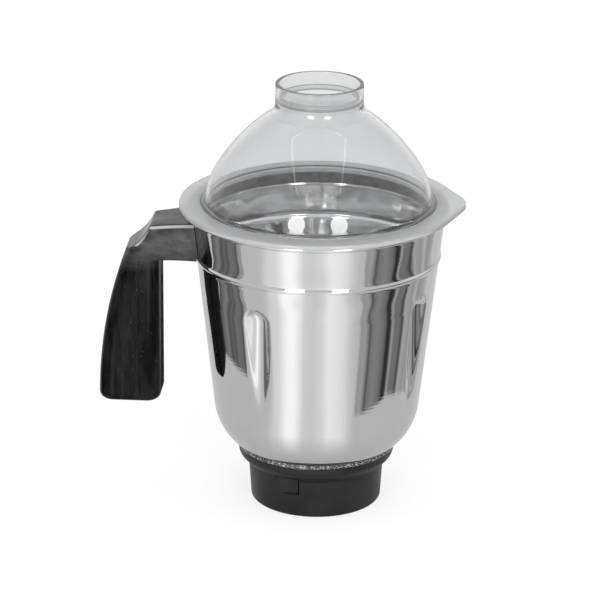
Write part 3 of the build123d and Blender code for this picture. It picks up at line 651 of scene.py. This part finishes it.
def makeLid():
    s = lidShape
    profile, rowFinish = lidSection()
    angles = np.linspace(0, 2 * math.pi, s["columns"], endpoint=False)
    radius = np.repeat(profile[:, :1], len(angles), 1)
    height = np.repeat(profile[:, 1:], len(angles), 1)
    # the flange is drawn out into the lip, more and more from the plug to the edge
    edge = s["flangeRadius"]
    share = np.clip((radius - s["plugOuter"]) / (edge - 2 * s["edgeRound"] - s["plugOuter"]), 0, 1)
    radius = radius + share * (flangeReach(angles - math.radians(s["lipTurn"]))[None, :] - edge)
    lid = sweptPiece("clearLid", radius * mm, height * mm, angles, clearFinish, hazyFinish, collarFinish,
                     underLedgeShadeFinish, rowFinish=rowFinish)
    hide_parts("lid")
    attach(lid, "jar")
    return lid


lid = makeLid()
print("lid made:", len(lid.data.polygons), "faces")


# bead of sealant squeezed out between cup and steel, uneven all round, in millimetres until the end

sealShape = {
    "middle": 47.89, "height": 37.0, "thick": 1.7, "low": 36.0, "topTurn": 32,
    "lump": 0.16, "lumpSize": 1.6, "columns": 480, "rows": 9,
    "back": ((48.7, 37.9), (45.8, 36.0)),   # radius and height of its back, inside the steel sheet
}


def makeSeal():
    s = sealShape
    angles = np.linspace(0, 2 * math.pi, s["columns"], endpoint=False)
    start = math.asin((s["low"] - s["height"]) / s["thick"])
    turns = np.linspace(start, math.radians(s["topTurn"]), s["rows"])
    radius, height = [], []
    for turn in turns:
        swell = []
        for angle in angles:
            spot = Vector((math.cos(angle), math.sin(angle), 0)) * s["middle"] / s["lumpSize"]
            swell.append(noise.noise(spot + Vector((0, 0, turn * s["thick"] / s["lumpSize"]))))
        thick = s["thick"] * (1 + s["lump"] * np.array(swell))
        radius.append(s["middle"] + thick * math.cos(turn))
        height.append(s["height"] + thick * math.sin(turn))
    for r, z in s["back"]:
        radius.append(np.full(len(angles), r))
        height.append(np.full(len(angles), z))
    height = np.clip(np.array(height), s["low"], None)
    seal = sweptPiece("sealantBead", np.array(radius) * mm, height * mm, angles, sealantFinish)
    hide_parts("base_seal")
    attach(seal, "jar")


makeSeal()
print("seal made")


# pan head screws with a cross recess and a rolled thread, in millimetres until the end

pointUp, pointOut = (0, 0, 1), (-1, 0, 0)


def ringPlaces(radius, height, angles):
    turns = np.radians(angles)
    return [((radius * math.cos(t), radius * math.sin(t), height), pointUp) for t in turns]


# each place is the middle of the head's face and the way the point looks
screwShapes = {
    "base_screws": {"head": 3.6, "tall": 2.2, "shank": 1.9, "long": 4.7, "pitch": 0.7,
                    "places": ringPlaces(radius=30.5, height=23.8, angles=(30, 150, 270))},
    "cover_screws": {"head": 3.1, "tall": 2.2, "shank": 1.45, "long": 18.7, "pitch": 0.9,
                     "places": [((-99.8, 0, 81.3), pointOut), ((-99.8, 0, 140.1), pointOut)]},
    "handle_screw": {"head": 3.6, "tall": 2.6, "shank": 1.95, "long": 10.5, "pitch": 0.7,
                     "places": [((-88.3, 0, 160.9), pointUp)]},
}
# what they have in common
screwForm = {
    "columns": 40, "faceRows": 22, "edgeRows": 7, "threadRows": 6,   # threadRows in each turn of the thread
    "middle": 0.01,   # share of the radius at which the face starts and the point ends
    "faceReach": 0.72, "edgeReach": 0.74,   # shares of the head's radius
    "crown": 0.16, "edgeLow": 0.1, "edgeRise": 0.4,   # shares of the head's height
    "crossHalf": 0.13, "crossReach": 0.56, "crossEdge": 0.05, "crossDepth": 0.32,   # of the head's radius
    "crossRise": 0.3,   # how much less deep for each millimetre outwards
    "threadRoot": 0.86, "pointWide": 0.7,   # shares of the shank's radius
    "pointLong": 0.6,
}


def crossDepth(r, turn, head):
    f = screwForm
    u, v = np.abs(r * np.cos(turn)), np.abs(r * np.sin(turn))
    away = np.maximum(np.minimum(u, v) - f["crossHalf"] * head, np.maximum(u, v) - f["crossReach"] * head)
    return np.clip(-away / (f["crossEdge"] * head), 0, 1) * (f["crossDepth"] * head - f["crossRise"] * r)


# radius and height of each row, from the middle of the face to the point
def screwRows(s, turns):
    f = screwForm
    head, tall, shank = s["head"], s["tall"], s["shank"]
    end = tall + s["long"]
    rows = []
    for r in np.linspace(f["middle"], f["faceReach"], f["faceRows"]) * head:
        rows.append((r, f["crown"] * tall * (r / head) ** 2 + crossDepth(r, turns, head)))
    for t in np.radians(np.linspace(0, 90, f["edgeRows"])):
        rows.append((head * (f["edgeReach"] + (1 - f["edgeReach"]) * math.sin(t)),
                     tall * (f["edgeLow"] + f["edgeRise"] * (1 - math.cos(t)))))
    rows += [(head, tall), (shank, tall)]
    for a in np.linspace(tall, end - f["pointLong"], int(s["long"] / s["pitch"] * f["threadRows"])):
        ridge = (1 + np.cos(2 * math.pi * (a - tall) / s["pitch"] - turns)) / 2
        rows.append((shank * (f["threadRoot"] + (1 - f["threadRoot"]) * ridge), a))
    rows += [(shank * f["pointWide"], end), (shank * f["middle"], end)]
    return [np.broadcast_arrays(r, a, turns)[:2] for r, a in rows]


def makeScrews(node, s):
    turns = np.linspace(0, 2 * math.pi, screwForm["columns"], endpoint=False)
    rows = screwRows(s, turns)
    points, faces = [], []
    for middle, ahead in s["places"]:
        turned = Vector(ahead).to_track_quat("Z", "Y")
        first = len(points)
        for r, a in rows:
            for c, turn in enumerate(turns):
                spot = Vector((r[c] * math.cos(turn), r[c] * math.sin(turn), a[c]))
                points.append((turned @ spot + Vector(middle)) * mm)
        faces += [[first + k for k in face][::-1] for face in rowFaces(len(rows), len(turns), False)]
    screws = meshPiece(node + "_cross", points, faces, zincFinish)
    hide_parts(node)
    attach(screws, "jar")


for node, shape in screwShapes.items():
    makeScrews(node, shape)
print("screws made")


# camera, floor, lamps and room

viewShape = {
    "turn": 4.25,   # degrees that the lip points towards the camera
    "aside": -10.85, "back": -1818.0, "up": 791.0, "pitch": 20.0, "roll": 0.47,   # millimetres and degrees
    "lens": 187.3, "sensor": 36.0, "farClip": 100,
}
viewTurn = Matrix.Rotation(math.radians(viewShape["turn"]), 4, "Z")


def makeCamera():
    v = viewShape
    data = bpy.data.cameras.new("photoCamera")
    data.lens = v["lens"]
    data.sensor_width = v["sensor"]
    data.clip_end = v["farClip"]
    camera = bpy.data.objects.new("photoCamera", data)
    bpy.context.scene.collection.objects.link(camera)
    place = Matrix.Translation(Vector((v["aside"], v["back"], v["up"])) * mm)
    tip = Matrix.Rotation(math.radians(90 - v["pitch"]), 4, "X")
    roll = Matrix.Rotation(math.radians(v["roll"]), 4, "Z")
    camera.matrix_world = viewTurn @ place @ tip @ roll
    bpy.context.scene.camera = camera


# how bright a pale background is: to the eye and through clear pieces, in mirrors, and as light on the object
def seenLevel(tree, seen, mirrored, lighting):
    path = addNode(tree, "ShaderNodeLightPath")
    straight = addNode(tree, "ShaderNodeMath", {0: path.outputs["Is Camera Ray"],
                                                1: path.outputs["Is Transmission Ray"]}, operation="MAXIMUM")
    unseen = blendOf(tree, path.outputs["Is Glossy Ray"], lighting, mirrored)
    return blendOf(tree, straight.outputs[0], unseen, seen)


stageShape = {
    "floorHalf": 15.0, "floorGlow": 0.72, "floorColour": 0.36, "floorRoughness": 0.5,
    # lamplight pooled on the floor, as the mirror shows it: degrees round the jar, then level
    "pools": ((-145, 0.38), (-139, 0.42), (-133, 0.62), (-126, 0.66), (-118, 1.1), (-112, 1.1), (-107, 0.85),
              (-103, 0.6), (-95, 0.53), (-87, 0.66), (-80, 0.9), (-73, 0.86), (-66, 0.75), (-60, 0.52),
              (-54, 0.38)),
    "poolPeak": 1.1, "poolStart": (0.06, 0.15),
    # the room as glossy pieces show it, dim towards the camera and bright behind
    "ambient": 0.8, "roomSeen": 1.0, "roomFront": 0.8, "roomBack": 1.0, "roomTurn": (-0.2, 0.3),
    "lampPower": 6.0, "lampSize": (0.42, 0.6), "lampDistance": 1.45, "lampAim": 0.15,
    "lampHeight": 11.0, "lampSides": (-21.5, 20.0),   # degrees up, and to the left and right
}


def makeFloor():
    s = stageShape
    finish, tree, shader = startFinish("paleFloor", Base_Color=grey(s["floorColour"]),
                                       Roughness=s["floorRoughness"], Specular_IOR_Level=0.0)
    place = addNode(tree, "ShaderNodeTexCoord").outputs["Object"]
    turned = addNode(tree, "ShaderNodeVectorRotate",
                     {"Vector": place, "Angle": -math.radians(viewShape["turn"])})
    around = addNode(tree, "ShaderNodeTexGradient", {"Vector": turned.outputs["Vector"]},
                     gradient_type="RADIAL")
    # the gradient goes from 0 to 1 between -180 and 180 degrees
    stops = [(angle / 360 + 0.5, level / s["poolPeak"]) for angle, level in s["pools"]]
    pools = rampOf(tree, around.outputs["Fac"], stops)
    distance = addNode(tree, "ShaderNodeVectorMath", {0: place}, operation="LENGTH")
    reach = riseOf(tree, distance.outputs["Value"], *s["poolStart"])
    faded = layOver(tree, reach, grey(stops[0][1]), pools)
    mirrored = timesOf(tree, faded, s["poolPeak"])
    light = addNode(tree, "ShaderNodeEmission",
                    {"Color": grey(1), "Strength": seenLevel(tree, s["floorGlow"], mirrored, 0.0)})
    both = addNode(tree, "ShaderNodeAddShader", {0: shader.outputs[0], 1: light.outputs[0]})
    tree.links.new(both.outputs[0], tree.nodes["Material Output"].inputs["Surface"])
    half = s["floorHalf"]
    floor = meshPiece("floor", [(-half, -half, 0), (half, -half, 0), (half, half, 0), (-half, half, 0)],
                      [(0, 1, 2, 3)], finish)


def makeLamps():
    s = stageShape
    up = math.radians(s["lampHeight"])
    for i, side in enumerate(np.radians(s["lampSides"])):
        data = bpy.data.lights.new("lamp%d" % i, "AREA")
        data.shape = "ELLIPSE"
        data.size, data.size_y = s["lampSize"]
        data.energy = s["lampPower"]
        lamp = bpy.data.objects.new("lamp%d" % i, data)
        bpy.context.scene.collection.objects.link(lamp)
        outward = Vector((math.sin(side), -math.cos(side), 0))
        toLamp = viewTurn @ (outward * math.cos(up) + Vector((0, 0, math.sin(up))))
        lamp.location = toLamp * s["lampDistance"] + Vector((0, 0, s["lampAim"]))
        lamp.rotation_mode = "QUATERNION"
        lamp.rotation_quaternion = toLamp.to_track_quat("Z", "Y")


def makeWorld():
    s = stageShape
    world = bpy.data.worlds.new("paleRoom")
    bpy.context.scene.world = world
    world.use_nodes = True
    tree = world.node_tree
    behind = riseOf(tree, axesOf(tree, "Generated")["Y"], *s["roomTurn"])
    mirrored = blendOf(tree, behind, s["roomFront"], s["roomBack"])
    background = tree.nodes["Background"]
    background.inputs["Color"].default_value = grey(1)
    feed(tree, background, Strength=seenLevel(tree, s["roomSeen"], mirrored, s["ambient"]))


# cards that only glossy pieces show, in millimetres

# curved boards with light and dark strips: distance from the axis at both ends and how much nearer the middle
# stands, ends in degrees round the jar, shades from end to end
boards = {
    "boardRightNear": {"distance": (177, 194), "nearer": 4, "ends": (-56, -23),
                       "shades": ((0, 0.8), (0.08, 0.45), (0.2, 0.5), (0.28, 0.3), (0.32, 0.12), (0.39, 0.27),
                                  (0.55, 0.33), (0.75, 0.24), (0.83, 0.15), (0.87, 0.04), (0.95, 0.04),
                                  (1, 0.12))},
    "boardRightFar": {"distance": (197, 197), "nearer": 0, "ends": (-23, 27),
                      "shades": ((0, 0.15), (0.04, 0.5), (0.09, 0.24), (0.2, 0.24), (0.27, 0.08),
                                 (0.34, 0.55), (0.5, 0.42), (0.6, 0.65), (0.7, 0.42), (0.86, 0.5), (1, 0.8))},
    "boardLeft": {"distance": (250, 218), "nearer": 4, "ends": (-192, -154),
                  "shades": ((0, 0.1), (0.13, 0.2), (0.24, 0.3), (0.37, 0.12), (0.47, 0.2), (0.52, 0.13),
                             (0.63, 0.24), (0.78, 0.2), (0.84, 0.1), (0.88, 0.4), (1, 0.5))},
}
boardForm = {"tall": 140, "level": 1, "steps": 24}

# flat cards: two sides left and right, near and far as the camera stands, and height
flats = {
    "flag": {"across": (-68, -5), "along": (140, 450), "height": 2, "level": 0.02},
    "boxLeft": {"across": (-573, -547), "along": (-1050, 30), "height": 1400, "level": 4},
    "boxRight": {"across": (527, 553), "along": (-1050, 30), "height": 1400, "level": 4},
    "boxBackLeft": {"across": (-573, -330), "along": (30, 56), "height": 1400, "level": 4},
    "boxBackRight": {"across": (330, 553), "along": (30, 56), "height": 1400, "level": 4},
}
flatShades = ((0, 0.95), (1, 1.0))


# spread is each point's place from one end of the shades to the other
def glowCard(name, points, faces, spread, level, shades):
    finish, tree, shader = startFinish(name + "Grey")
    shade = rampOf(tree, axesOf(tree, "UV")["X"], shades)
    light = addNode(tree, "ShaderNodeEmission", {"Color": shade, "Strength": level})
    tree.links.new(light.outputs[0], tree.nodes["Material Output"].inputs["Surface"])
    tree.nodes.remove(shader)
    card = meshPiece(name, [viewTurn @ Vector(p) * mm for p in points], faces, finish)
    layer = card.data.uv_layers.new(name="along")
    for loop in card.data.loops:
        layer.data[loop.index].uv = (spread[loop.vertex_index], 0)
    card.visible_camera = False
    card.visible_diffuse = False
    card.visible_transmission = False
    card.visible_shadow = False


def makeBoards():
    steps = boardForm["steps"]
    for name, board in boards.items():
        start, end = board["distance"]
        points, faces, spread = [], [], []
        for i, angle in enumerate(np.radians(np.linspace(*board["ends"], steps + 1))):
            share = i / steps
            bow = 4 * share * (1 - share)   # 1 in the middle, 0 at the ends
            away = start + (end - start) * share - board["nearer"] * bow
            for z in (0, boardForm["tall"]):
                points.append((math.cos(angle) * away, math.sin(angle) * away, z))
                spread.append(share)
            if i < steps:
                faces.append((2 * i, 2 * i + 2, 2 * i + 3, 2 * i + 1))
        glowCard(name, points, faces, spread, boardForm["level"], board["shades"])


def makeFlats():
    for name, flat in flats.items():
        (left, right), (near, far) = flat["across"], flat["along"]
        points = [(x, y, flat["height"]) for x, y in ((left, near), (right, near), (right, far), (left, far))]
        glowCard(name, points, [(0, 1, 2, 3)], (0, 0, 1, 1), flat["level"], flatShades)


makeCamera()
makeFloor()
makeLamps()
makeWorld()
makeBoards()
makeFlats()
bpy.context.scene.view_settings.view_transform = "Standard"
print("stage made")
